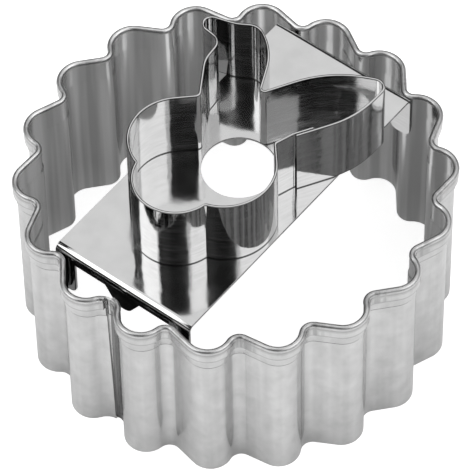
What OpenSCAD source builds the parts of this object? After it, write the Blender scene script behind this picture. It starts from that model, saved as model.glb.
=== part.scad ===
// Two-part linzer cookie cutter of thin tin-plated steel.
// A fluted ring with a hemmed rim holds a loose insert: a strip bent down at both ends, with a
// rabbit's-head cutter standing on it. The ring stands on its cutting edge at z = 0, about the
// Z axis. The insert lies along X, with the rabbit's chin towards -X and its ears towards +X.

/* [Ring] */
// Diameter over the flutes, at the rim
ring_d = 48; // [44:0.5:56]
// Height from the cutting edge to the top of the rim
ring_h = 22; // [18:0.5:40]
// Number of outward flutes, an even number
flutes = 18; // [14:2:20]
// Bend radius of the outward flutes, at the middle of the sheet
flute_r = 2.3; // [2.1:0.05:2.5]
// How far the sheet leans away from the rim's line between two flutes, in degrees
flute_lean = 57; // [50:1:60]
// Thickness of the ring's sheet
ring_t = 0.3; // [0.2:0.05:0.35]

/* [Rim hem] */
// Depth of the folded hem below the top of the rim
hem_h = 2.2; // [1.5:0.1:2.8]
// Diameter of the rounded bead at the fold
bead_d = 0.7; // [0.7:0.02:0.9]
// Depth of the slanted step in the wall below the top of the rim
step_drop = 3.4; // [3.2:0.1:6]
// How far the wall steps outwards there
step_out = 0.12; // [0.06:0.01:0.2]
// Height of the slanted step
step_h = 0.3; // [0.2:0.05:0.4]

/* [Ring seam] */
// Width of the gap beside the outer end of the strip, at the cutting edge
seam_gap = 0.2; // [0.1:0.05:0.3]
// Width of that gap at the rim
seam_gap_top = 0.7; // [0.4:0.05:0.9]
// How far the inner end runs on inside past the gap, in degrees of bend
lap_bend = 50; // [40:5:55]

/* [Insert strip] */
// Width of the strip
strip_w = 18; // [17:0.25:19]
// Thickness of the strip
strip_t = 0.3; // [0.25:0.05:0.4]
// Outside radius of the two bends
strip_bend_r = 0.7; // [0.6:0.05:0.9]
// Running clearance between a flange and the flutes that guide it
flange_clearance = 0.05; // [0.03:0.01:0.15]
// How far the strip's top stands above the rim
strip_proud = 0.3; // [0:0.05:0.6]
// Depth of the legs below the strip's top
leg_h = 6.4; // [5:0.1:10]
// Width of a leg
leg_w = 2.6; // [2:0.1:3.5]
// Radius of the corners at the foot of a leg
leg_r = 0.9; // [0.4:0.1:0.9]
// Depth of the flange between the legs, below the strip's top
web_h = 1.5; // [1.2:0.1:2]
// Depth of the middle tongue, below the strip's top
tongue_h = 3.8; // [3.4:0.1:4.5]
// Width of the tongue at its root
tongue_w = 4.6; // [4:0.1:6]
// Radius at the tip of the tongue
tongue_r = 0.9; // [0.6:0.1:1.2]
// Diameter of the finger hole
hole_d = 8.2; // [6:0.1:8.6]
// Distance of the finger hole from the middle of the strip
hole_x = 0.6; // [0:0.1:0.7]

/* [Rabbit cutter] */
// Height of the band above the strip
band_h = 9; // [6:0.5:14]
// Thickness of the band
band_t = 0.3; // [0.2:0.05:0.35]
// Bend radius of the creases, at the middle of the band
crease_r = 0.45; // [0.4:0.05:0.5]
// Bend radius of the chin
chin_r = 4.65; // [4.5:0.05:4.8]
// Bend radius of the cheeks
cheek_r = 5.5; // [5.3:0.05:5.6]
// Radius round the tip of the straight ear
tip_r = 1.15; // [1.15:0.05:1.3]
// Radius round the tip of the folded ear
fold_tip_r = 0.95; // [0.8:0.05:1.1]
// Length of the lap where the band's ends are joined
lap_l = 2; // [1:0.1:3.5]

/* [Travel] */
// How far the insert is drawn up out of its place
lift_out = 8; // [8:0.5:20]

/* [Hidden] */
$fn = 96;
satin = "#b9babc";
bright = "#dcdddf";

// Circle that the middle of the ring's sheet reaches, and the circle of the outward flutes' centres
bead_out = step_out + ring_t / 2;
outer_r = ring_d / 2 - bead_out - bead_d / 2;
pitch = 360 / flutes;
flute_c = outer_r - flute_r;

// Bend radius of an inward flute that leans a number of degrees where it runs smoothly into the
// outward flute beside it, and the circle of its centre
function inward_r(lean) = flute_c * sin(pitch / 2) / sin(lean) - flute_r;
function inward_c(lean) = flute_c * sin(lean + pitch / 2) / sin(lean);

valley_r = inward_r(flute_lean);
valley_c = inward_c(flute_lean);

// At the seam the inner end leans more, so that it lies one sheet further in
lap_lean = 2 * atan(tan(flute_lean / 2) + ring_t / (flute_c * sin(pitch / 2)));
lap_r = inward_r(lap_lean);
lap_c = inward_c(lap_lean);

// How far from the middle the flutes of number k let a flange stand, for one that is strip_w wide
function flange_stop(k) =
    let (r = valley_r + ring_t / 2)
    let (past = max(0, valley_c * sin(k * pitch) - strip_w / 2))
    past < r ? valley_c * cos(k * pitch) - sqrt(r ^ 2 - past ^ 2) : ring_d;

// Outer faces of the flanges and top face of the strip
flange_x = floor(100 * (min([for (k = [0:2]) flange_stop(k)]) - flange_clearance)) / 100;
strip_z = ring_h + strip_proud;

// Forming pins of the rabbit band, anticlockwise from the chin, each [x, y, radius, side], where
// side is 1 if the pin is inside the outline and -1 if it presses a crease into it
chin = [-9.95, 0, chin_r, 1];
cheek_right = [-5.6, -2.95, cheek_r, 1];
cheek_left = [-5.6, 2.95, cheek_r, 1];
pins = [
    chin, crease_between(chin, cheek_right, -1), cheek_right,
    [0.03, -5.92, crease_r, -1], [1.9, -6.56, crease_r, -1],
    [11, 0.5, 10.6, 1], [12.25, -9, tip_r, 1], [1.3, -13.05, 12.8, 1],
    [5.2, 0, crease_r, -1],
    [4.1, 8.8, 8, 1], [9.7, 5.8, 1.65, 1], [15.1, 10, 5.15, -1], [8.77, 9.95, fold_tip_r, 1],
    [6.2, 9.15, 1.5, -1], [5.5, 4.05, 3.5, 1],
    [0.25, 5.45, crease_r, -1],
    cheek_left, crease_between(chin, cheek_left, 1)
];
pin_count = len(pins);

// The pin from which the band's two ends lap, and how far past it the outer end starts. The band
// reaches this pin as the inner end, and the outer end lies one thickness further out
lap_pin = 4;
lap_start = 0.2;
function leaving(i) = i == lap_pin ? [pins[i].x, pins[i].y, crease_r - band_t, -1] : pins[i];

// Pin that presses a crease between two round stretches, touching both
function crease_between(a, b, side) =
    let (d = norm([b.x - a.x, b.y - a.y]), ra = a[2] + crease_r, rb = b[2] + crease_r)
    let (along = (d ^ 2 + ra ^ 2 - rb ^ 2) / (2 * d))
    let (across = side * sqrt(ra ^ 2 - along ^ 2))
    [
        a.x + (along * (b.x - a.x) - across * (b.y - a.y)) / d,
        a.y + (along * (b.y - a.y) + across * (b.x - a.x)) / d,
        crease_r, -1
    ];

// Direction in which the band runs from pin a to pin b, and the straight length between them
function heading(a, b) =
    let (d = norm([b.x - a.x, b.y - a.y]))
    atan2(b.y - a.y, b.x - a.x) + asin((a[3] * a[2] - b[3] * b[2]) / d);
function straight(a, b) =
    let (d = norm([b.x - a.x, b.y - a.y]))
    sqrt(max(0, d ^ 2 - (a[3] * a[2] - b[3] * b[2]) ^ 2));
// An angle brought into 0 to 360 degrees
function turn(angle) = angle - 360 * floor(angle / 360);

// Section of the ring's sheet with its hem: x is outwards, from the middle of the sheet
module hem_section() {
    step_z = ring_h - step_drop;
    bead_z = ring_h - bead_d / 2;
    translate([bead_out, bead_z])
        circle(d = bead_d, $fn = 32);
    polygon([
        [-ring_t / 2, 0],
        [ring_t / 2, 0],
        [ring_t / 2, step_z],
        [ring_t / 2 + step_out, step_z + step_h],
        [ring_t / 2 + step_out, ring_h - hem_h],
        [ring_t * 1.5 + step_out, ring_h - hem_h],
        [ring_t * 1.5 + step_out, bead_z],
        [step_out - ring_t / 2, bead_z],
        [step_out - ring_t / 2, step_z + step_h],
        [-ring_t / 2, step_z]
    ]);
}

// Section of the plain inner end at the seam
module plain_section() {
    translate([-ring_t / 2, 0])
        square([ring_t, ring_h - bead_d]);
}

// Lengths are moved through in two steps, a coarse one and a fine one, so that faces meet exactly
function coarse(v) = [for (x = v) round(x * 1000) / 1000];

// Puts a piece at a distance from the Z axis in a direction
module at(distance, direction) {
    place = distance * [cos(direction), sin(direction), 0];
    translate(coarse(place))
        translate(place - coarse(place))
            children();
}

// Sheet bent round the origin at radius r from one direction to another, its outer face outside
module bent_out(r, from, to) {
    rotate_extrude(angle = to - from, start = from)
        translate(coarse([r, 0]))
            translate([r, 0] - coarse([r, 0]))
                children();
}

// The same, with the sheet's outer face on the inside of the bend
module bent_in(r, from, to) {
    bent_out(r, from, to)
        mirror([1, 0])
            children();
}

// One outward flute in a direction; back is its lean on the side of the smaller angles
module outward_flute(direction, back = flute_lean) {
    at(flute_c, direction)
        bent_out(flute_r, direction - back - pitch / 2, direction + flute_lean + pitch / 2)
            hem_section();
}

module inward_flute(direction) {
    at(valley_c, direction)
        bent_in(valley_r, direction + 180 - flute_lean, direction + 180 + flute_lean)
            hem_section();
}

// The inward flute towards -X in which the two ends of the strip lap
module seam_flute() {
    at(valley_c, 180) {
        difference() {
            bent_in(valley_r, 0, flute_lean)
                hem_section();
            seam_notch();
        }
        bent_in(valley_r + ring_t, 0, lap_bend)
            plain_section();
    }
    at(lap_c, 180)
        bent_in(lap_r, -lap_lean, 0)
            hem_section();
}

// The gap beside the outer end, wider towards the rim
module seam_notch() {
    rotate([90, 0, 90])
        linear_extrude(valley_r + bead_d)
            polygon([
                [-1, -1], [seam_gap, -1],
                [seam_gap, 0], [seam_gap_top, ring_h],
                [seam_gap_top, ring_h + 1], [-1, ring_h + 1]
            ]);
}

module ring_band() {
    color(satin)
        union() {
            for (k = [0:flutes - 1]) {
                outward_flute((k + 0.5) * pitch, k == flutes / 2 ? lap_lean : flute_lean);
                if (k != flutes / 2)
                    inward_flute(k * pitch);
            }
            seam_flute();
        }
}

// Outline of a flange below the bend: x is across the strip, y is up, with the strip's top at 0
module flange_outline() {
    translate([-strip_w / 2, -web_h])
        square([strip_w, web_h - strip_bend_r]);
    for (side = [-1, 1])
        translate([side * (strip_w - leg_w) / 2, -leg_h])
            leg_outline();
    tongue_outline();
}

module leg_outline() {
    for (side = [-1, 1])
        translate([side * (leg_w / 2 - leg_r), leg_r])
            circle(leg_r, $fn = 48);
    translate([leg_r - leg_w / 2, 0])
        square([leg_w - 2 * leg_r, leg_h - web_h]);
    translate([-leg_w / 2, leg_r])
        square([leg_w, leg_h - leg_r - strip_bend_r]);
}

// The tongue's sides run from its root on to its round tip, which they touch
module tongue_outline() {
    tip_y = tongue_r - tongue_h;
    root = [tongue_w / 2, -web_h - tip_y];
    lean = atan2(root.y, root.x) - acos(tongue_r / norm(root));
    touch = tongue_r * [cos(lean), sin(lean)];
    translate([0, tip_y])
        circle(tongue_r, $fn = 48);
    polygon([
        [-tongue_w / 2, -web_h], [-touch.x, tip_y + touch.y],
        [touch.x, tip_y + touch.y], [tongue_w / 2, -web_h],
        [tongue_w / 2, -strip_bend_r], [-tongue_w / 2, -strip_bend_r]
    ]);
}

// The strip, bent down at both ends, with a hole for a finger
module insert_plate() {
    flat_x = flange_x - strip_bend_r;
    color(bright)
        union() {
            translate([0, 0, strip_z - strip_t])
                linear_extrude(strip_t)
                    difference() {
                        square([2 * flat_x, strip_w], center = true);
                        translate([hole_x, 0])
                            circle(d = hole_d);
                    }
            for (side = [0, 180])
                rotate([0, 0, side]) {
                    translate([flat_x, strip_w / 2, strip_z - strip_bend_r])
                        rotate([90, 0, 0])
                            strip_bend();
                    translate([flange_x - strip_t, 0, strip_z])
                        rotate([90, 0, 90])
                            linear_extrude(strip_t)
                                flange_outline();
                }
        }
}

// A quarter ring, the full width of the strip long
module strip_bend() {
    linear_extrude(strip_w)
        difference() {
            circle(strip_bend_r, $fn = 64);
            circle(strip_bend_r - strip_t, $fn = 64);
            translate([-2 * strip_bend_r, -strip_bend_r])
                square([2 * strip_bend_r, 2 * strip_bend_r]);
            translate([-strip_bend_r, -2 * strip_bend_r])
                square([2 * strip_bend_r, 2 * strip_bend_r]);
        }
}

// Points along the band where it lies on pin number i, shifted outwards from its middle
function on_pin(i, shift) =
    let (p = pins[i], before = leaving((i + pin_count - 1) % pin_count))
    let (arrive = heading(before, p), leave = heading(leaving(i), pins[(i + 1) % pin_count]))
    let (first = arrive - 90 * p[3], bend = turn(p[3] * (leave - arrive)))
    let (steps = ceil(bend / (2 * acos(1 - 0.01 / (p[2] + band_t)))))
    [
        for (n = [0:steps])
            let (a = first + p[3] * bend * n / steps)
            [p.x, p.y] + (p[2] + p[3] * shift) * [cos(a), sin(a)]
    ];

// Corners of the step at one of the band's ends, at a length along the straight after the lap's pin
function end_step(shift, length) =
    let (h = heading(leaving(lap_pin), pins[lap_pin + 1]), bend = on_pin(lap_pin, shift))
    let (from = bend[len(bend) - 1] + length * [cos(h), sin(h)])
    [from, from + band_t * [sin(h), -cos(h)]];

// One face of the band, shifted outwards from its middle, with the end that steps it at a length
function face(shift, length) = [
    for (i = [0:pin_count - 1])
        each concat(on_pin(i, shift), i == lap_pin ? end_step(shift, length) : [])
];

// The rabbit's head with its two ears, standing on the strip
module rabbit_band() {
    color(bright)
        translate([0, 0, strip_z])
            linear_extrude(band_h)
                difference() {
                    polygon(face(band_t / 2, lap_start));
                    polygon(face(-band_t / 2, lap_start + lap_l));
                }
}

ring_band();
insert_plate();
rabbit_band();
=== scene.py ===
import math

import bpy
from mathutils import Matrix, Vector


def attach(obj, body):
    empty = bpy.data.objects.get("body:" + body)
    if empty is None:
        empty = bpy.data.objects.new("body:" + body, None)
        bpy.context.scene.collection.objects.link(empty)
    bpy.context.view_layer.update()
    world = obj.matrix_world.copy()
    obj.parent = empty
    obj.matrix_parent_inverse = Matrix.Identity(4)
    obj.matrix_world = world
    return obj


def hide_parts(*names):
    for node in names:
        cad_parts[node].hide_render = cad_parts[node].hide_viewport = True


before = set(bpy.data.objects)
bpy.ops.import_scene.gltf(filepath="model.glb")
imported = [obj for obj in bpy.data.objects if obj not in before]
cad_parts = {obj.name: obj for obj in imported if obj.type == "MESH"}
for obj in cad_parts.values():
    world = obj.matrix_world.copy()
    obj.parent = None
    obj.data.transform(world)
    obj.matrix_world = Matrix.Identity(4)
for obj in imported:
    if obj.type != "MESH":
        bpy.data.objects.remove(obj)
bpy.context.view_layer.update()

# The camera.
# It stands a little under half a metre away and looks down at 52 degrees, with the near end of the
# insert on its left. A long lens keeps the flutes nearly parallel.
lens = bpy.data.cameras.new("camera")
lens.lens = 344.8
lens.sensor_width = 36
lens.clip_start = 0.01
camera = bpy.data.objects.new("camera", lens)
camera.location = (-0.23143, -0.18574, 0.40109)
camera.rotation_euler = [math.radians(a) for a in (37.2552, 0.6313, -52.0430)]
bpy.context.scene.collection.objects.link(camera)
bpy.context.scene.camera = camera
bpy.context.scene.view_settings.view_transform = "Standard"

# The table.
# A plain white sheet of laminate, wide enough to run out of the picture on every side. It is white
# to the camera and keeps the cutter's soft shadow. In the metal it shows painted shade inside the
# ring, where its glow is turned down for the shade that a real table has there.
mm = 0.001
bpy.ops.object.select_all(action="DESELECT")
bpy.ops.mesh.primitive_plane_add(size=3, location=(0, 0, -0.02 * mm))
table = bpy.context.object
table.name = "table"


def linear(hex_colour):
    """A colour written as sRGB hex, as the linear one that the shaders take."""
    parts = [int(hex_colour[i:i + 2], 16) / 255 for i in (1, 3, 5)]
    return [c / 12.92 if c <= 0.04045 else ((c + 0.055) / 1.055) ** 2.4 for c in parts] + [1]


def add(tree, kind, settings=None, links=None):
    """Adds a node. Settings name its properties or give its inputs; links feed its inputs."""
    node = tree.nodes.new(kind)
    for key, value in (settings or {}).items():
        if isinstance(key, str) and hasattr(node, key):
            setattr(node, key, value)
        else:
            node.inputs[key].default_value = value
    for key, source in (links or {}).items():
        tree.links.new(source, node.inputs[key])
    return node


def seen(tree, ray):
    """1 for what the camera, metal and glass look at, and 0 for the light that falls on a piece."""
    sight = add(tree, "ShaderNodeMath", {"operation": "ADD"},
                {0: ray.outputs["Is Camera Ray"], 1: ray.outputs["Is Glossy Ray"]})
    return add(tree, "ShaderNodeMath", {"operation": "ADD", "use_clamp": True},
               {0: sight.outputs[0], 1: ray.outputs["Is Transmission Ray"]})


# White melamine laminate, pressed matt, which has no highlight and no grain to see from here. Its
# glow in the metal is painted shade inside the ring, rising from the ring's shade to the open table,
# and a pool of painted light brightens a patch that the far flange mirrors.
ring_shade, open_table, painted_light_patch = 0.06, 0.3, 0.6
laminate = bpy.data.materials.new("white_laminate")
laminate.use_nodes = True
tree = laminate.node_tree
tree.nodes.clear()
ray = add(tree, "ShaderNodeLightPath")
matt = add(tree, "ShaderNodeBsdfDiffuse", {"Color": linear("#D9D9D9")})
place = add(tree, "ShaderNodeTexCoord")
reach = add(tree, "ShaderNodeVectorMath", {"operation": "LENGTH"}, {0: place.outputs["Object"]})
# Painted shade: the glow that the metal sees is low inside the ring and rises outside it
fade = add(tree, "ShaderNodeMapRange",
           {"From Min": 19 * mm, "From Max": 30 * mm, "To Min": ring_shade, "To Max": open_table},
           {"Value": reach.outputs["Value"]})
# Painted light: a brighter patch of glow under the far leg, which only the metal sees
under = add(tree, "ShaderNodeVectorMath", {"operation": "DISTANCE", 1: (8 * mm, 1 * mm, 0)},
            {0: place.outputs["Object"]})
light_patch = add(tree, "ShaderNodeMapRange",
            {"From Min": 3.5 * mm, "From Max": 6.5 * mm, "To Min": painted_light_patch, "To Max": 0.0},
            {"Value": under.outputs["Value"]})
fade = add(tree, "ShaderNodeMath", {"operation": "MAXIMUM"},
           {0: fade.outputs[0], 1: light_patch.outputs[0]})
strength = add(tree, "ShaderNodeMix", {"data_type": "FLOAT", "B": 0.8},
               {"Factor": ray.outputs["Is Camera Ray"], "A": fade.outputs[0]})
glow = add(tree, "ShaderNodeEmission", {"Color": linear("#FFFFFF")}, {"Strength": strength.outputs[0]})
both = add(tree, "ShaderNodeAddShader", None, {0: matt.outputs[0], 1: glow.outputs[0]})
mix = add(tree, "ShaderNodeMixShader", None,
          {0: seen(tree, ray).outputs[0], 1: matt.outputs[0], 2: both.outputs[0]})
add(tree, "ShaderNodeOutputMaterial", None, {"Surface": mix.outputs[0]})
table.data.materials.append(laminate)

# The studio.
# An even white room with a large soft lamp on each side of the cutter. Black cards and low black
# drapes, which only metal can see, give polished steel its dark stripes and its dark edges.
studio = bpy.data.worlds.new("white_room")
bpy.context.scene.world = studio
studio.use_nodes = True
tree = studio.node_tree
tree.nodes.clear()
ray = add(tree, "ShaderNodeLightPath")
room = add(tree, "ShaderNodeBackground", {"Color": linear("#FFFFFF"), "Strength": 0.9})
white = add(tree, "ShaderNodeBackground", {"Color": linear("#FFFFFF"), "Strength": 1.0})
mix = add(tree, "ShaderNodeMixShader", None,
          {0: seen(tree, ray).outputs[0], 1: room.outputs[0], 2: white.outputs[0]})
add(tree, "ShaderNodeOutputWorld", None, {"Surface": mix.outputs[0]})


def around(direction, height, distance=1.0):
    """A point at a compass direction and height angle, in degrees, from the middle of the cutter."""
    d, h = math.radians(direction), math.radians(height)
    return Vector((math.cos(h) * math.cos(d), math.cos(h) * math.sin(d), math.sin(h))) * distance


for name, direction, height, size, power in [
        ("lamp_left", 141, 50, (0.6, 0.8), 2.0), ("lamp_right", -72, 50, (0.8, 0.8), 1.75)]:
    lamp = bpy.data.lights.new(name, "AREA")
    lamp.shape = "RECTANGLE"
    lamp.size, lamp.size_y = size
    lamp.energy = power
    holder = bpy.data.objects.new(name, lamp)
    holder.location = around(direction, height)
    holder.rotation_euler = holder.location.to_track_quat("Z", "Y").to_euler()
    bpy.context.scene.collection.objects.link(holder)

# Card covered with black flock. Its pile lies unevenly, in patches some 285 mm wide, so the metal
# never mirrors one flat black.
flock = bpy.data.materials.new("black_flock_card")
flock.use_nodes = True
tree = flock.node_tree
shader = tree.nodes["Principled BSDF"]
shader.inputs["Roughness"].default_value = 0.9
place = add(tree, "ShaderNodeTexCoord")
pile = add(tree, "ShaderNodeTexNoise", {"Scale": 1 / (285 * mm), "Detail": 2},
           {"Vector": place.outputs["Object"]})
tone = add(tree, "ShaderNodeMapRange", {"From Min": 0.4, "From Max": 0.65},
           {"Value": pile.outputs["Fac"]})
fibre = add(tree, "ShaderNodeMix", {"data_type": "RGBA", 6: linear("#121212"), 7: linear("#424242")},
            {0: tone.outputs[0]})
tree.links.new(fibre.outputs[2], shader.inputs["Base Color"])


def hang(name):
    """Makes a black card or drape of the object that was just added, for metal alone to see."""
    card = bpy.context.object
    card.name = name
    card.visible_camera = card.visible_diffuse = card.visible_shadow = False
    card.data.materials.append(flock)
    return card


# Large cards behind the camera, at one side, behind the cutter and low beyond its far end
for name, direction, height, size in [("card_camera", -156, 50, (0.82, 1.0)),
                                      ("card_side", 101, 42, (0.22, 0.5)),
                                      ("card_back", 71.5, 42, (0.44, 0.5)),
                                      ("card_far", 20, 36, (0.7, 0.32))]:
    bpy.ops.object.select_all(action="DESELECT")
    place = around(direction, height)
    bpy.ops.mesh.primitive_plane_add(
        size=1, location=place, rotation=place.to_track_quat("Z", "Y").to_euler())
    hang(name).scale = (*size, 1)

# A small black card, which only the metal sees, stands between the ring and the insert's near flange as
# painted shade, which darkens the flange
bpy.ops.object.select_all(action="DESELECT")
bpy.ops.mesh.primitive_plane_add(size=1, location=(-20 * mm, 0.6 * mm, 16.5 * mm),
                                 rotation=(0, math.radians(90), 0))
hang("painted_shade_card").scale = (8 * mm, 13 * mm, 1)

# Drapes hang all round, below the lamps, and draw a dark line along every rounded edge
bpy.ops.object.select_all(action="DESELECT")
bpy.ops.mesh.primitive_cylinder_add(vertices=96, radius=1.2, depth=0.56, location=(0, 0, 0.34),
                                    end_fill_type="NOTHING")
hang("drapes")

# The fluted ring.
# One strip of tinplate, 0.3 mm thick, rolled between fluted rolls into 18 flutes. Its top edge is
# folded over outwards into a hem with a round bead, and a small step runs round under the hem. The
# ends lap in the inward flute towards the chin, where the outer one stops short of the crest.
sheet = 0.3 * mm
ring_height = 22 * mm
step = 0.12 * mm
step_rise = 0.3 * mm
edge_round = 0.08 * mm
bead = 0.35 * mm
flutes = 18
pitch = 360 / flutes
flute_lean = 57
flute_bend = 2.3 * mm
flute_circle = 24 * mm - step - sheet / 2 - bead - flute_bend


def valley(lean):
    """The bend radius and centre circle of an inward flute that leans so many degrees."""
    share = flute_circle / math.sin(math.radians(lean))
    radius = share * math.sin(math.radians(pitch / 2)) - flute_bend
    return radius, share * math.sin(math.radians(lean + pitch / 2))


valley_bend, valley_circle = valley(flute_lean)
lap_lean = 2 * math.degrees(math.atan(math.tan(math.radians(flute_lean / 2))
                                      + sheet / (flute_circle * math.sin(math.radians(pitch / 2)))))
lap_bend, lap_circle = valley(lap_lean)
crest = lap_circle - lap_bend


def polar(radius, direction):
    """A point at a distance from the ring's axis in a direction given in degrees."""
    a = math.radians(direction)
    return Vector((radius * math.cos(a), radius * math.sin(a), 0))


hair = 0.01 * mm


def grab(test):
    """In edit mode, selects the corners of the mesh whose place passes the test, and no others."""
    mesh = bpy.context.object.data
    bpy.ops.mesh.select_mode(type="VERT")
    bpy.ops.mesh.select_all(action="DESELECT")
    bpy.ops.object.mode_set(mode="OBJECT")
    for corner in mesh.vertices:
        corner.select = bool(test(corner.co))
    bpy.ops.object.mode_set(mode="EDIT")


def pencil(name, start):
    """A new mesh, open for editing, that is one selected corner at a point."""
    bpy.ops.object.select_all(action="DESELECT")
    bpy.ops.mesh.primitive_plane_add(size=mm, location=start)
    bpy.context.object.name = bpy.context.object.data.name = name
    bpy.ops.object.mode_set(mode="EDIT")
    bpy.ops.mesh.select_all(action="SELECT")
    bpy.ops.mesh.merge(type="CENTER")
    bpy.ops.mesh.select_all(action="SELECT")
    return bpy.context.object


def draw(*moves):
    """Extrudes the selected corner along a row of moves."""
    for move in moves:
        bpy.ops.mesh.extrude_vertices_move(TRANSFORM_OT_translate={"value": move})


def roll(centre, degrees, per_step=9.0):
    """Bends the selected edges on round an upright axis, in steps of so many degrees at most."""
    bpy.ops.mesh.spin(steps=max(1, math.ceil(abs(degrees) / per_step)), angle=math.radians(-degrees),
                      center=centre, axis=(0, 0, 1))


def close_mesh():
    """Ends the editing: welds doubles, turns the faces outwards, and puts the origin at the frame's."""
    bpy.ops.mesh.select_all(action="SELECT")
    bpy.ops.mesh.remove_doubles(threshold=hair / 5)
    bpy.ops.mesh.normals_make_consistent(inside=False)
    bpy.ops.object.mode_set(mode="OBJECT")
    bpy.ops.object.transform_apply(location=True, rotation=True, scale=True)


def shade(piece, angle=35):
    """Shades a piece smooth up to an angle, with its normals following the large faces."""
    bpy.ops.object.select_all(action="DESELECT")
    piece.select_set(True)
    bpy.context.view_layer.objects.active = piece
    bpy.ops.object.shade_smooth_by_angle(angle=math.radians(angle))
    normals = piece.modifiers.new("flat walls", "WEIGHTED_NORMAL")
    normals.keep_sharp = True
    normals.weight = 80
    bpy.ops.object.modifier_apply(modifier=normals.name)


# The wall's outline, drawn up its outer face, over the bead and down its inner face, where the
# inner end of the strip lies at the seam
hem_depth = 1.8 * mm
step_top = ring_height - 3.1 * mm
bead_height = ring_height - bead
neck = 0.18 * mm
bead_sweep = 242
ring = pencil("fluted_ring", (-crest - sheet / 2, 0, 0))
draw((0, 0, step_top - step_rise), (-step, 0, step_rise),
     (0, 0, ring_height - hem_depth - step_top), (-sheet, 0, 0),
     (0, 0, bead_height - neck - ring_height + hem_depth))
bpy.ops.mesh.spin(steps=14, angle=math.radians(-bead_sweep), axis=(0, 1, 0),
                  center=(-crest - step - sheet / 2, 0, bead_height))
draw((0, 0, step_top - bead_height + neck), (step, 0, -step_rise), (0, 0, step_rise - step_top))
bpy.ops.mesh.select_all(action="SELECT")
bpy.ops.mesh.edge_face_add()
grab(lambda co: co.z < hair)
bpy.ops.mesh.bevel(offset=edge_round, segments=2, affect="VERTICES")
grab(lambda co: abs(co.z - ring_height + hem_depth) < hair and co.x < -crest - sheet * 1.2)
bpy.ops.mesh.bevel(offset=edge_round, segments=2, affect="VERTICES")
bpy.ops.mesh.select_all(action="SELECT")

# The strip is bent on round the ring, from its inner end at the seam to its outer end. The rolls
# pushed each inward flute a little back, so one side of it is steep and the other a gentle straight.
# These flutes are a little shallower than the seam's, and clear the insert's legs.
skew = 1.1
depth = valley_circle - valley_bend + 0.13 * mm
near = flute_circle * math.cos(math.radians(pitch / 2 - skew))
tight_bend = ((depth ** 2 + flute_circle ** 2 - flute_bend ** 2 - 2 * depth * near)
              / (2 * (near + flute_bend - depth)))


def pin(radius, direction, bend, side):
    """A pin to bend a strip round, in millimetres: [x, y, radius, side]."""
    place = polar(radius / mm, direction)
    return [place.x, place.y, bend / mm, side]


seam_at = 180
first_crest = seam_at + pitch / 2
posts = [pin(lap_circle, seam_at, lap_bend, -1), pin(flute_circle, first_crest, flute_bend, 1)]
for flute in range(1, flutes):
    posts += [pin(depth + tight_bend, seam_at + flute * pitch - skew, tight_bend, -1),
              pin(flute_circle, first_crest + flute * pitch, flute_bend, 1)]
posts += [pin(valley_circle, seam_at, valley_bend, -1)]


def run(a, b):
    """The direction and the length of the straight from one pin to the next."""
    span = math.hypot(b[0] - a[0], b[1] - a[1])
    lead = a[3] * a[2] - b[3] * b[2]
    return (math.atan2(b[1] - a[1], b[0] - a[0]) + math.asin(max(-1, min(1, lead / span))),
            math.sqrt(max(0, span ** 2 - lead ** 2)) * mm)


def bend_round(pins, arrive, last):
    """Bends the selected edges on round a row of pins, and at its end along the last straight."""
    for post, after in zip(pins, pins[1:] + [None]):
        leave, length = run(post, after) if after else last
        turn = (post[3] * (leave - arrive)) % (2 * math.pi)
        per_step = 4 if post[2] > 2.5 else 10
        roll((post[0] * mm, post[1] * mm, 0), post[3] * math.degrees(turn), per_step)
        if length > hair:
            bpy.ops.mesh.extrude_region_move(TRANSFORM_OT_translate={
                "value": (length * math.cos(leave), length * math.sin(leave), 0)})
        arrive = leave


bend_round(posts, -math.pi / 2, (-math.pi / 2, 0))
close_mesh()

# The outer end is cut off at a slant by a wedge, shaped from a 2 mm cube, so that it leaves a gap
# beside the crest that is 0.2 mm wide at the cutting edge and 0.7 mm wide at the rim
wedge_half = 1 * mm
bpy.ops.object.select_all(action="DESELECT")
bpy.ops.mesh.primitive_cube_add(size=2 * wedge_half,
                                location=(-crest - wedge_half, 0, ring_height / 2))
wedge = bpy.context.object
bpy.ops.object.mode_set(mode="EDIT")
for end, gap in ((-1, 0.2 * mm), (1, 0.7 * mm)):
    grab(lambda co: co.y > 0 and co.z * end > 0)
    bpy.ops.transform.translate(value=(0, gap - wedge_half, 0))
grab(lambda co: co.y < -0.5 * mm)
bpy.ops.transform.translate(value=(0, wedge_half - hair, 0))
for end in (1, -1):
    grab(lambda co: co.z * end > 0)
    bpy.ops.transform.translate(value=(0, 0, end * ring_height / 2))
close_mesh()
bpy.context.view_layer.objects.active = ring
cut = ring.modifiers.new("seam gap", "BOOLEAN")
cut.operation = "DIFFERENCE"
cut.solver = "EXACT"
cut.object = wedge
bpy.ops.object.modifier_apply(modifier=cut.name)
bpy.data.objects.remove(wedge)

# The inner end runs on behind the gap as a plain tongue
tongue_sweep = 50
tongue = pencil("seam_tongue", (-crest + sheet / 2 - hair, 0, 0))
draw((-sheet, 0, 0), (0, 0, ring_height - 2 * bead), (sheet, 0, 0))
bpy.ops.mesh.select_all(action="SELECT")
bpy.ops.mesh.edge_face_add()
roll(polar(valley_circle, seam_at), tongue_sweep)
close_mesh()
bpy.ops.object.select_all(action="DESELECT")
tongue.select_set(True)
ring.select_set(True)
bpy.context.view_layer.objects.active = ring
bpy.ops.object.join()
shade(ring)

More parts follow.
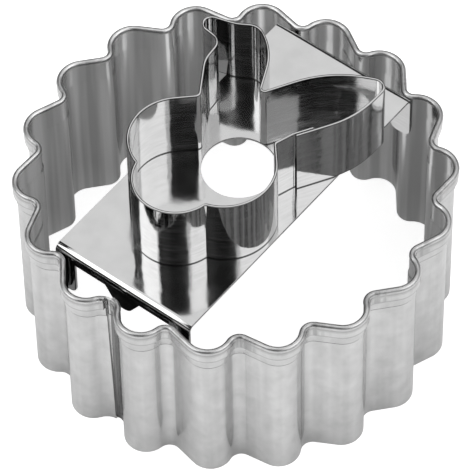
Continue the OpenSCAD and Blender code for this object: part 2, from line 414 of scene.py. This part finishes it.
# Satin tinplate, drawn up and down through the fluting rolls, which leaves soft upright streaks in
# its tone and sheen and a faint cloudiness. The rolls' own lines are too fine to show, so they are
# drawn as coarse as the picture needs, 0.45 mm wide, in bands of 1.4 mm. Clouds of tin are 1.7 mm.
satin = bpy.data.materials.new("satin_tinplate")
satin.use_nodes = True
tree = satin.node_tree
shader = tree.nodes["Principled BSDF"]
shader.inputs["Metallic"].default_value = 1
place = add(tree, "ShaderNodeTexCoord")
level = add(tree, "ShaderNodeSeparateXYZ", None, {0: place.outputs["Object"]})
stretch = add(tree, "ShaderNodeMapping", {"Scale": (1, 1, 0.03)}, {"Vector": place.outputs["Object"]})
streaks = add(tree, "ShaderNodeTexNoise", {"Scale": 1 / (0.45 * mm), "Detail": 3},
              {"Vector": stretch.outputs[0]})
bands = add(tree, "ShaderNodeTexNoise", {"Scale": 1 / (1.4 * mm), "Detail": 2},
            {"Vector": stretch.outputs[0]})
clouds = add(tree, "ShaderNodeTexNoise", {"Scale": 1 / (1.7 * mm), "Detail": 4},
             {"Vector": place.outputs["Object"]})

# The bead is rubbed dull by fingers and dough
sheen = add(tree, "ShaderNodeMapRange",
            {"From Min": 0.3, "From Max": 0.7, "To Min": 0.13, "To Max": 0.24},
            {"Value": streaks.outputs["Fac"]})
worn = add(tree, "ShaderNodeMapRange",
           {"From Min": bead_height - 0.5 * mm, "From Max": bead_height, "To Min": 0.0, "To Max": 0.36},
           {"Value": level.outputs["Z"]})
sheen = add(tree, "ShaderNodeMath", {"operation": "MAXIMUM"},
            {0: sheen.outputs[0], 1: worn.outputs[0]})
tree.links.new(sheen.outputs[0], shader.inputs["Roughness"])

# The outside is bright and cloudy, and the inside smeared in upright bands
blend = add(tree, "ShaderNodeMath", {"operation": "ADD"},
            {0: bands.outputs["Fac"], 1: clouds.outputs["Fac"]})
tone = add(tree, "ShaderNodeMapRange", {"From Min": 0.7, "From Max": 1.3},
           {"Value": blend.outputs[0]})
tin = add(tree, "ShaderNodeMix", {"data_type": "RGBA", 6: linear("#BDBDBD"), 7: linear("#D3D3D3")},
          {0: tone.outputs[0]})
smear = add(tree, "ShaderNodeMapRange", {"From Min": 0.38, "From Max": 0.62},
            {"Value": bands.outputs["Fac"]})
dull = add(tree, "ShaderNodeMix", {"data_type": "RGBA", 6: linear("#BCBCBC"), 7: linear("#E0E0E0")},
           {0: smear.outputs[0]})
turned = add(tree, "ShaderNodeNewGeometry")
flat = add(tree, "ShaderNodeMapping", {"Scale": (1, 1, 0)}, {"Vector": place.outputs["Object"]})
outwards = add(tree, "ShaderNodeVectorMath", {"operation": "DOT_PRODUCT"},
               {0: turned.outputs["Normal"], 1: flat.outputs[0]})
outside = add(tree, "ShaderNodeMath", {"operation": "GREATER_THAN", 1: 0.0},
              {0: outwards.outputs["Value"]})
tin = add(tree, "ShaderNodeMix", {"data_type": "RGBA"},
          {0: outside.outputs[0], 6: dull.outputs[2], 7: tin.outputs[2]})

# Painted shade lies as dark lines under the bead, along the hem's raw edge and in the step. Each row
# gives the height of the line's middle, half its width, and how dark it is.
shade_marks = None
for height, half_width, darkness in [(bead_height - 0.38 * mm, 0.26 * mm, 0.14),
                                     (bead_height - 0.3 * mm, 0.12 * mm, 0.16),
                                     (ring_height - hem_depth + 0.06 * mm, 0.08 * mm, 0.28),
                                     (step_top - 0.2 * mm, 0.08 * mm, 0.85)]:
    line = add(tree, "ShaderNodeMath", {"operation": "COMPARE", 1: height, 2: half_width},
               {0: level.outputs["Z"]})
    line = add(tree, "ShaderNodeMath", {"operation": "MULTIPLY", 1: darkness}, {0: line.outputs[0]})
    if shade_marks:
        line = add(tree, "ShaderNodeMath", {"operation": "ADD"},
                   {0: line.outputs[0], 1: shade_marks.outputs[0]})
    shade_marks = line

# More painted shade lies in the seam's gap, on the tongue
deep = add(tree, "ShaderNodeMath", {"operation": "COMPARE", 1: -0.05 * mm - crest, 2: 0.33 * mm},
           {0: level.outputs["X"]})
seam = add(tree, "ShaderNodeMath", {"operation": "COMPARE", 1: -0.3 * mm, 2: 0.7 * mm},
           {0: level.outputs["Y"]})
seam = add(tree, "ShaderNodeMath", {"operation": "MULTIPLY"}, {0: deep.outputs[0], 1: seam.outputs[0]})
seam = add(tree, "ShaderNodeMath", {"operation": "MULTIPLY", 1: 0.7}, {0: seam.outputs[0]})
shade_marks = add(tree, "ShaderNodeMath", {"operation": "MAXIMUM"},
            {0: shade_marks.outputs[0], 1: seam.outputs[0]})

# Folding the hem crimped it in the inward flutes, where short dark upright marks are painted shade
reach = add(tree, "ShaderNodeVectorMath", {"operation": "LENGTH"}, {0: flat.outputs[0]})
valley_reach = add(tree, "ShaderNodeMapRange",
           {"From Min": 22.3 * mm, "From Max": 22.9 * mm, "To Min": 0.4, "To Max": 0.0},
           {"Value": reach.outputs["Value"]})
hem = add(tree, "ShaderNodeMath", {"operation": "GREATER_THAN", 1: ring_height - hem_depth},
          {0: level.outputs["Z"]})
crimp_shade = add(tree, "ShaderNodeMapRange", {"From Min": 0.4, "From Max": 0.65},
            {"Value": streaks.outputs["Fac"]})
crimp_shade = add(tree, "ShaderNodeMath", {"operation": "MULTIPLY"}, {0: crimp_shade.outputs[0], 1: hem.outputs[0]})
crimp_shade = add(tree, "ShaderNodeMath", {"operation": "MULTIPLY"},
            {0: crimp_shade.outputs[0], 1: valley_reach.outputs[0]})
shade_marks = add(tree, "ShaderNodeMath", {"operation": "MAXIMUM"},
            {0: shade_marks.outputs[0], 1: crimp_shade.outputs[0]})
# Painted shade: the lines, the seam's gap and the crimps darken the outside's tin towards near black
painted_shade = add(tree, "ShaderNodeMath", {"operation": "MULTIPLY"},
            {0: shade_marks.outputs[0], 1: outside.outputs[0]})
tin = add(tree, "ShaderNodeMix", {"data_type": "RGBA", 7: linear("#2B2B2B")},
          {0: painted_shade.outputs[0], 6: tin.outputs[2]})
tree.links.new(tin.outputs[2], shader.inputs["Base Color"])
ring.data.materials.append(satin)
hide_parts("ring_band")
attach(ring, "ring")

# The insert's strip.
# One strip of bright tinplate, bent down at both ends. Each flange has a leg with rounded feet at
# both edges and a tapered tongue in the middle, and a finger hole is punched through the flat.
strip_top = ring_height + 0.3 * mm
strip_half = 9 * mm
strip_sheet = 0.3 * mm
flange_face = 19.47 * mm
fold = 0.8 * mm
flat_half = flange_face - fold
leg_side = 6.4
leg_drop = 4.9 * mm
foot_round = 0.9 * mm
tongue_side = 2.3
tongue_drop = 2.3 * mm
tongue_taper = 0.36
tongue_round = 0.62 * mm
web = strip_top - 1.5 * mm
bpy.ops.object.select_all(action="DESELECT")
bpy.ops.mesh.primitive_plane_add(size=2, location=(0, 0, strip_top))
strip = bpy.context.object
strip.name = strip.data.name = "insert_strip"
strip.scale = (flat_half, strip_half, 1)
bpy.ops.object.transform_apply(location=True, rotation=True, scale=True)
bpy.ops.object.mode_set(mode="EDIT")
for across in (-leg_side, -tongue_side, tongue_side, leg_side):
    bpy.ops.mesh.select_all(action="SELECT")
    bpy.ops.mesh.bisect(plane_co=(0, across * mm, strip_top), plane_no=(0, 1, 0))
for end in (-1, 1):
    grab(lambda co: co.x * end > flat_half - hair)
    bpy.ops.mesh.spin(steps=10, angle=math.radians(-90 * end), axis=(0, 1, 0),
                      center=(end * flat_half, 0, strip_top - fold))
    bpy.ops.mesh.extrude_region_move(
        TRANSFORM_OT_translate={"value": (0, 0, web - strip_top + fold)})
    for side in (-1, 1):
        grab(lambda co: co.x * end > flange_face - hair and co.z < web + hair
             and co.y * side > (leg_side - 0.1) * mm)
        bpy.ops.mesh.extrude_region_move(TRANSFORM_OT_translate={"value": (0, 0, -leg_drop)})
        bpy.ops.mesh.bevel(offset=foot_round, segments=6, affect="VERTICES")
    grab(lambda co: co.x * end > flange_face - hair and abs(co.z - web) < hair
         and abs(co.y) < (tongue_side + 0.1) * mm)
    bpy.ops.mesh.extrude_region_move(TRANSFORM_OT_translate={"value": (0, 0, -tongue_drop)})
    bpy.ops.transform.resize(value=(1, tongue_taper, 1), center_override=(0, 0, web))
    bpy.ops.mesh.bevel(offset=tongue_round, segments=6, affect="VERTICES")
close_mesh()
wall = strip.modifiers.new("sheet", "SOLIDIFY")
wall.thickness = strip_sheet
wall.offset = -1
bpy.ops.object.modifier_apply(modifier=wall.name)
bpy.ops.object.select_all(action="DESELECT")
bpy.ops.mesh.primitive_cylinder_add(vertices=96, radius=4.1 * mm, depth=4 * mm,
                                    location=(0.6 * mm, 0, strip_top))
punch = bpy.context.object
bpy.context.view_layer.objects.active = strip
hole = strip.modifiers.new("finger hole", "BOOLEAN")
hole.operation = "DIFFERENCE"
hole.solver = "EXACT"
hole.object = punch
bpy.ops.object.modifier_apply(modifier=hole.name)
bpy.data.objects.remove(punch)
edge = strip.modifiers.new("edge", "BEVEL")
edge.width = 0.05 * mm
edge.segments = 2
edge.limit_method = "ANGLE"
edge.angle_limit = math.radians(50)
bpy.ops.object.modifier_apply(modifier=edge.name)
shade(strip)

# Bright tinplate as it comes from polished rolls. The rolls leave lines along the sheet, which lie
# level on every wall and soften the edges of what it mirrors. They are too fine to show, and are
# drawn 0.24 mm apart. The sheet is never quite flat, but wavy every 3.8 mm or so.
mirror = bpy.data.materials.new("bright_tinplate")
mirror.use_nodes = True
tree = mirror.node_tree
shader = tree.nodes["Principled BSDF"]
shader.inputs["Metallic"].default_value = 1
place = add(tree, "ShaderNodeTexCoord")
level = add(tree, "ShaderNodeSeparateXYZ", None, {0: place.outputs["Object"]})
stretch = add(tree, "ShaderNodeMapping", {"Scale": (0.08, 0.08, 1)},
              {"Vector": place.outputs["Object"]})
lines = add(tree, "ShaderNodeTexNoise", {"Scale": 1 / (0.24 * mm), "Detail": 2},
            {"Vector": stretch.outputs[0]})
sheen = add(tree, "ShaderNodeMapRange",
            {"From Min": 0.35, "From Max": 0.7, "To Min": 0.05, "To Max": 0.14},
            {"Value": lines.outputs["Fac"]})
tree.links.new(sheen.outputs[0], shader.inputs["Roughness"])
tone = add(tree, "ShaderNodeMapRange", {"From Min": 0.3, "From Max": 0.7},
           {"Value": lines.outputs["Fac"]})
tin = add(tree, "ShaderNodeMix", {"data_type": "RGBA", 6: linear("#C8C8C8"), 7: linear("#D2D2D2")},
          {0: tone.outputs[0]})

# A dark line of painted shade runs along the rabbit band's foot, and a fine one just below its edge
foot = add(tree, "ShaderNodeMath", {"operation": "COMPARE", 1: strip_top + 0.09 * mm, 2: 0.08 * mm},
           {0: level.outputs["Z"]})
lip = add(tree, "ShaderNodeMath", {"operation": "COMPARE", 1: strip_top + 8.93 * mm, 2: 0.06 * mm},
          {0: level.outputs["Z"]})
shade_marks = add(tree, "ShaderNodeMath", {"operation": "ADD"}, {0: foot.outputs[0], 1: lip.outputs[0]})
painted_shade = add(tree, "ShaderNodeMath", {"operation": "MULTIPLY", 1: 0.75}, {0: shade_marks.outputs[0]})
tin = add(tree, "ShaderNodeMix", {"data_type": "RGBA", 7: linear("#1E1E1E")},
          {0: painted_shade.outputs[0], 6: tin.outputs[2]})
tree.links.new(tin.outputs[2], shader.inputs["Base Color"])
wavy = add(tree, "ShaderNodeTexNoise", {"Scale": 1 / (3.8 * mm), "Detail": 2},
           {"Vector": place.outputs["Object"]})
bump = add(tree, "ShaderNodeBump", {"Strength": 1.0, "Distance": 0.04 * mm},
           {"Height": wavy.outputs["Fac"]})
tree.links.new(bump.outputs[0], shader.inputs["Normal"])
strip.data.materials.append(mirror)
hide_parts("insert_plate")
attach(strip, "insert")

# The rabbit cutter.
# One narrow band of bright tinplate, standing on the strip. It is bent round forming pins into a
# rabbit's head with one straight and one folded ear, and its ends lap under the straight ear.
band_half = 0.15 * mm
band_height = 9 * mm
crease = 0.45
lap = 2 * mm


def beside(a, b, side):
    """The pin that presses a crease between two rounds, touching both: [x, y, radius, side]."""
    span = math.hypot(b[0] - a[0], b[1] - a[1])
    ra, rb = a[2] + crease, b[2] + crease
    along = (span ** 2 + ra ** 2 - rb ** 2) / (2 * span)
    across = side * math.sqrt(ra ** 2 - along ** 2)
    ux, uy = (b[0] - a[0]) / span, (b[1] - a[1]) / span
    return [a[0] + along * ux - across * uy, a[1] + along * uy + across * ux, crease, -1]


# The pins in millimetres: round the straight ear and its tip to the crease between the ears, round
# the folded ear and its overhang to the crease at the head, and round both cheeks and the chin
chin = [-9.95, 0, 4.65, 1]
cheeks = [[-5.6, -2.95, 5.5, 1], [-5.6, 2.95, 5.5, 1]]
lap_pin = [1.9, -6.56, crease, -1]
pins = [[11, 0.5, 10.6, 1], [12.25, -9, 1.15, 1], [1.3, -13.05, 12.8, 1], [5.2, 0, crease, -1],
        [4.1, 8.8, 8, 1], [9.7, 5.8, 1.65, 1], [15.1, 10, 5.15, -1], [8.77, 9.95, 0.95, 1],
        [6.2, 9.15, 1.5, -1], [5.5, 4.05, 3.5, 1], [0.25, 5.45, crease, -1],
        cheeks[1], beside(chin, cheeks[1], 1), chin, beside(chin, cheeks[0], -1), cheeks[0],
        [0.03, -5.92, crease, -1], lap_pin]

# The outer end starts just past the last pin, one thickness further out than the inner end there,
# and the band runs on from it round the rabbit, until the inner end lies behind the outer one
lap_gap = 0.01
before = [lap_pin[0], lap_pin[1], crease - 2 * band_half / mm - lap_gap, -1]
arrive, length = run(before, pins[0])
out = Vector((math.sin(arrive), -math.cos(arrive), 0))
along = Vector((math.cos(arrive), math.sin(arrive), 0))
lap_start = 0.2 * mm
band = pencil("rabbit_cutter", Vector((lap_pin[0] * mm, lap_pin[1] * mm, strip_top))
              + along * lap_start + out * lap_gap * mm)
draw(out * -2 * band_half, (0, 0, band_height), out * 2 * band_half)
bpy.ops.mesh.select_all(action="SELECT")
bpy.ops.mesh.edge_face_add()
bpy.ops.mesh.bevel(offset=0.09 * mm, segments=2, affect="VERTICES")
bpy.ops.mesh.select_all(action="SELECT")
bpy.ops.mesh.extrude_region_move(TRANSFORM_OT_translate={"value": along * (length - lap_start)})
bend_round(pins, arrive, (arrive, lap_start + lap))
close_mesh()
shade(band)
band.data.materials.clear()
band.data.materials.append(mirror)
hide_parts("rabbit_band")
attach(band, "insert")
